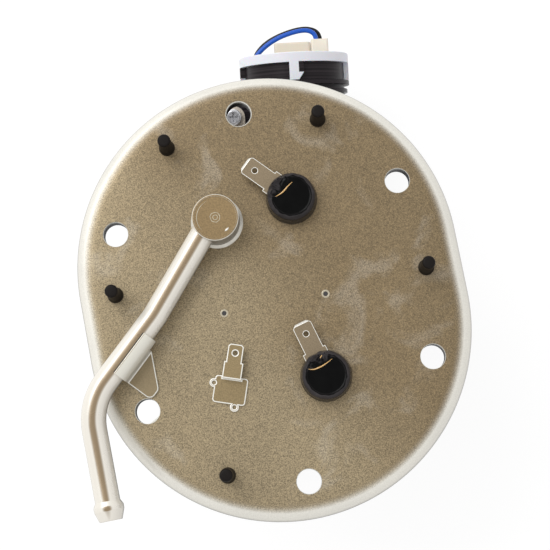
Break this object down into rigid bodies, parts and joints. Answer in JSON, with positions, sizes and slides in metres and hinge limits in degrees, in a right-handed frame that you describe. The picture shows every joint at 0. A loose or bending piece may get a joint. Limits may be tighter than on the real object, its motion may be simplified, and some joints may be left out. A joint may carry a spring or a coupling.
{
  "type": "fuel pump module",
  "caption": "Oval tank flange with outlet pipe, terminals and seal, carrying a slanted in-tank electric pump with hose and strainer.",
  "frame": {"origin": "centre of the flange's bolt pattern on the tank's seat, at the seal's underside", "axes": "+Z out of the tank, +Y along the flange's long axis towards the pump's outlet end"},
  "size_m": [0.13, 0.1713, 0.1007],
  "materials": {
    "ball_steel": "polished",
    "bearing_bronze": "sintered bronze",
    "black_insulation": "wire insulation",
    "blue_insulation": "wire insulation",
    "boss_steel": "turned and plated",
    "bracket_steel": "plated sheet",
    "brush_carbon": "pressed carbon",
    "bush_plastic": "moulded",
    "cap_plastic": "moulded, faintly blue white",
    "case_steel": "drawn and plated tube",
    "clamp_steel": "spring band",
    "clip_steel": "spring steel",
    "commutator_copper": "copper bars",
    "contact_metal": "tinned",
    "core_steel": "stacked laminations",
    "earth_steel": "plated sheet",
    "elbow_plastic": "moulded, cream",
    "head_plastic": "moulded, cream",
    "holder_plastic": "moulded, satin gloss",
    "hose_rubber": "smooth hose",
    "impeller_plastic": "moulded phenolic",
    "insulator_plastic": "moulded, glossy",
    "lug_metal": "tinned",
    "magnet_ferrite": "ferrite",
    "nut_steel": "zinc plated",
    "pipe_steel": "bright plated tube",
    "plate_steel": "satin plated sheet with fine grain",
    "plug_plastic": "moulded, beige",
    "potting_resin": "cast resin, glossy",
    "pump_casting": "die cast",
    "relief_brass": "turned",
    "saddle_steel": "plated sheet",
    "screw_steel": "zinc plated",
    "seal_rubber": "glossy moulded rubber",
    "shaft_steel": "ground",
    "sleeve_rubber": "soft rubber",
    "spring_steel": "drawn wire",
    "strainer_mesh": "woven nylon mesh",
    "strainer_plastic": "moulded nylon",
    "stud_brass": "turned brass",
    "tab_metal": "tinned brass",
    "winding_copper": "enamelled copper wire"
  },
  "bodies": {
    "flange_group": {"bearing_bush_lower": "bearing_bronze", "bearing_bush_upper": "bearing_bronze", "black_wire": "black_insulation", "blue_wire": "blue_insulation", "bracket_screws": "screw_steel", "brush_spring_lower": "spring_steel", "brush_spring_upper": "spring_steel", "check_valve_spring": "spring_steel", "earth_tab": "earth_steel", "flange_plate": "plate_steel", "hanger_bracket": "bracket_steel", "hose_clamps": "clamp_steel", "inlet_cover": "pump_casting", "inner_bush_lower": "bush_plastic", "inner_bush_upper": "bush_plastic", "magnet_clips": "clip_steel", "magnet_lower": "magnet_ferrite", "magnet_upper": "magnet_ferrite", "outlet_boss": "boss_steel", "outlet_elbow": "elbow_plastic", "outlet_head": "head_plastic", "outlet_hose": "hose_rubber", "outlet_pipe": "pipe_steel", "pipe_saddle": "saddle_steel", "potting_lower": "potting_resin", "potting_upper": "potting_resin", "pump_body": "pump_casting", "pump_case": "case_steel", "pump_contacts": "contact_metal", "pump_holder": "holder_plastic", "pump_plug": "plug_plastic", "pump_sleeve": "sleeve_rubber", "relief_valve_plug": "relief_brass", "relief_valve_spring": "spring_steel", "retaining_cap": "cap_plastic", "ring_lug_lower": "lug_metal", "ring_lug_upper": "lug_metal", "seal_gasket": "seal_rubber", "strainer_bag": "strainer_mesh", "strainer_frame": "strainer_plastic", "strainer_neck": "strainer_plastic", "terminal_blade_lower": "tab_metal", "terminal_blade_upper": "tab_metal", "terminal_insulator_lower": "insulator_plastic", "terminal_insulator_upper": "insulator_plastic", "terminal_nuts": "nut_steel", "terminal_stud_lower": "stud_brass", "terminal_stud_upper": "stud_brass"},
    "rotor": {"impeller": "impeller_plastic", "rotor_shaft": "shaft_steel", "armature_core": "core_steel", "armature_windings": "winding_copper", "commutator": "commutator_copper"},
    "check_ball": {"check_valve_ball": "ball_steel"},
    "relief_ball": {"relief_valve_ball": "ball_steel"},
    "brush_upper": {"carbon_brush_upper": "brush_carbon"},
    "brush_lower": {"carbon_brush_lower": "brush_carbon"}
  },
  "joints": [
    {"name": "rotor_spin", "type": "hinge", "parent": "flange_group", "child": "rotor", "pos_m": [0.0233, 0.089, -0.0436], "axis": [0.1373, 0.9767, 0.165], "continuous": true},
    {"name": "check_valve_lift", "type": "slide", "parent": "flange_group", "child": "check_ball", "axis": [0.1373, 0.9767, 0.165], "range_m": [0, 0.0015], "stiffness_N_per_m": 60, "springref_m": -0.004, "deforming": ["check_valve_spring"]},
    {"name": "relief_valve_lift", "type": "slide", "parent": "flange_group", "child": "relief_ball", "axis": [0.1373, 0.9767, 0.165], "range_m": [0, 0.001], "stiffness_N_per_m": 300, "springref_m": -0.006, "deforming": ["relief_valve_spring"]},
    {"name": "upper_brush_travel", "type": "slide", "parent": "flange_group", "child": "brush_upper", "axis": [0.1373, 0.9767, 0.165], "range_m": [0, 0.0015], "stiffness_N_per_m": 100, "springref_m": -0.004, "deforming": ["brush_spring_upper"]},
    {"name": "lower_brush_travel", "type": "slide", "parent": "flange_group", "child": "brush_lower", "axis": [0.1373, 0.9767, 0.165], "range_m": [0, 0.0015], "stiffness_N_per_m": 100, "springref_m": -0.004, "deforming": ["brush_spring_lower"]}
  ]
}
